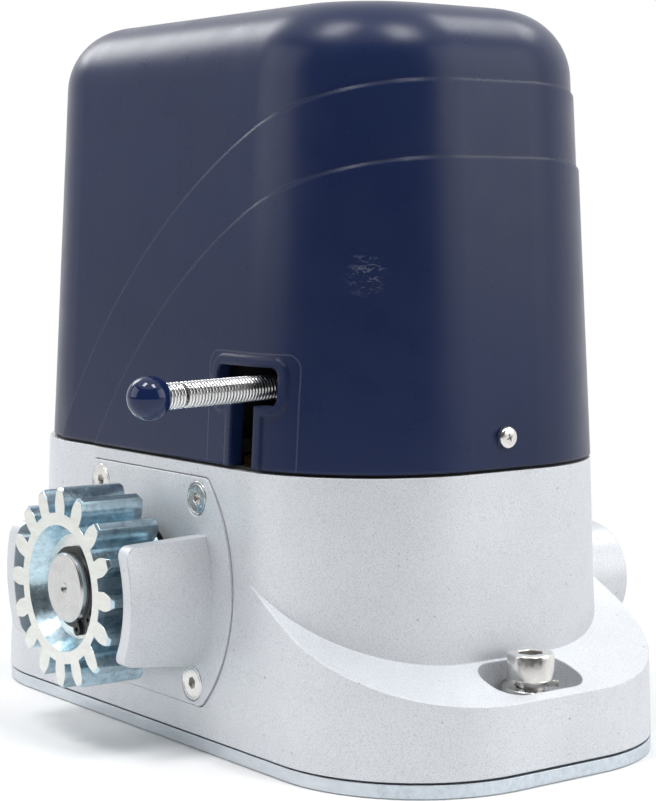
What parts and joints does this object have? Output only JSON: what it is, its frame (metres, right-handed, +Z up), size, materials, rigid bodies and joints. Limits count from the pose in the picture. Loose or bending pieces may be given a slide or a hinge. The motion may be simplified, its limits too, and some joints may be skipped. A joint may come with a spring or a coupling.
{
  "type": "sliding gate motor",
  "caption": "Sliding gate motor: cast gear case on a plate, rack pinion between guard ears, spring limit lever, tall moulded cover.",
  "frame": {"origin": "on the underside of the base plate, centred on its outline and in the plane of the pinion's axis", "axes": "+Z up, X along the gate, -Y towards the gate's rack, where the pinion is"},
  "size_m": [0.2876, 0.2072, 0.261],
  "materials": {
    "zinc_plate": "zinc plated, satin",
    "cast_silver": "silver paint on a rough casting",
    "cover_navy": "fine moulded texture, satin",
    "pinion_zinc": "zinc plated, machined",
    "bolt_nickel": "bright plated",
    "machined_steel": "turned and ground",
    "black_steel": "blackened",
    "spring_steel": "bright wire",
    "seal_rubber": "matt black",
    "bronze": "machined bronze",
    "raw_aluminium": "as cast",
    "lamination": "stacked sheet steel",
    "copper_winding": "varnished wire",
    "motor_paint": "black paint",
    "board_green": "solder mask",
    "terminal_grey": "moulded",
    "relay_blue": "moulded, glossy",
    "switch_black": "moulded",
    "capacitor_white": "smooth can",
    "knob_grey": "moulded",
    "ball_navy": "polished"
  },
  "bodies": {
    "housing": {"base_plate": "zinc_plate", "levelling_screws": "black_steel", "foundation_bolts": "bolt_nickel", "foundation_washers": "bolt_nickel", "spring_washers": "bolt_nickel", "gear_case": "cast_silver", "gear_cover": "cast_silver", "gear_cover_screws": "bolt_nickel", "shaft_seal": "seal_rubber", "front_bearing_outer": "machined_steel", "rear_bearing_outer": "machined_steel", "gearbox_lid": "raw_aluminium", "lid_screws": "bolt_nickel", "oil_plug": "bronze", "cable_grommet": "seal_rubber", "motor_lower_shield": "raw_aluminium", "motor_frame": "motor_paint", "motor_top_shield": "raw_aluminium", "motor_bolts": "bolt_nickel", "stator_core": "lamination", "stator_coils": "copper_winding", "worm_bush": "bronze", "worm_bearing_outer": "machined_steel", "motor_bearing_outer": "machined_steel", "service_panel": "zinc_plate", "board_spacers": "switch_black", "control_board": "board_green", "terminal_blocks": "terminal_grey", "relays": "relay_blue", "transformer_core": "lamination", "transformer_coil": "copper_winding", "capacitor": "capacitor_white", "capacitor_clip": "switch_black", "limit_bracket": "zinc_plate", "pivot_pin": "machined_steel", "microswitches": "switch_black", "cover": "cover_navy", "cover_screws": "bolt_nickel", "cover_seal": "seal_rubber"},
    "output": {"output_shaft": "machined_steel", "pinion": "pinion_zinc", "pinion_key": "black_steel", "pinion_circlip": "black_steel", "rear_spacer": "machined_steel", "front_bearing_inner": "machined_steel", "rear_bearing_inner": "machined_steel"},
    "wheel": {"worm_wheel": "bronze"},
    "collar": {"clutch_collar": "machined_steel"},
    "fork": {"clutch_fork": "machined_steel"},
    "release": {"release_spindle": "machined_steel", "release_pin": "machined_steel", "release_knob": "knob_grey"},
    "rotor": {"worm_shaft": "machined_steel", "rotor_core": "lamination", "worm_bearing_inner": "machined_steel", "motor_bearing_inner": "machined_steel"},
    "lever": {"lever_hub": "switch_black", "lever_spring": "spring_steel", "lever_ball": "ball_navy"}
  },
  "joints": [
    {"name": "rotor_spin", "type": "hinge", "parent": "housing", "child": "rotor", "pos_m": [-0.0395, 0, 0.15], "axis": [0, 0, 1], "continuous": true},
    {"name": "wheel_spin", "type": "hinge", "parent": "housing", "child": "wheel", "pos_m": [0, 0, 0.0562], "axis": [0, 1, 0], "continuous": true},
    {"name": "output_spin", "type": "hinge", "parent": "housing", "child": "output", "pos_m": [0, -0.0966, 0.0562], "axis": [0, 1, 0], "continuous": true},
    {"name": "release_turn", "type": "hinge", "parent": "housing", "child": "release", "pos_m": [0.0623, 0.085, 0.0501], "axis": [0, 1, 0], "range_deg": [0, 90]},
    {"name": "clutch_slide", "type": "slide", "parent": "output", "child": "collar", "axis": [0, -1, 0], "range_m": [0, 0.006]},
    {"name": "fork_slide", "type": "slide", "parent": "housing", "child": "fork", "axis": [0, -1, 0], "range_m": [0, 0.006]},
    {"name": "lever_swing", "type": "hinge", "parent": "housing", "child": "lever", "pos_m": [0.062, -0.0385, 0.1303], "axis": [0, 0, 1], "range_deg": [-15, 15], "stiffness_Nm_per_rad": 0.15}
  ],
  "couplings": [
    {"joint": "wheel_spin", "follows": "rotor_spin", "ratio": 0.033333},
    {"joint": "output_spin", "follows": "rotor_spin", "ratio": 0.033333},
    {"joint": "release_turn", "follows": "clutch_slide", "rad_per_m": 261.79},
    {"joint": "fork_slide", "follows": "clutch_slide", "ratio": 1}
  ]
}
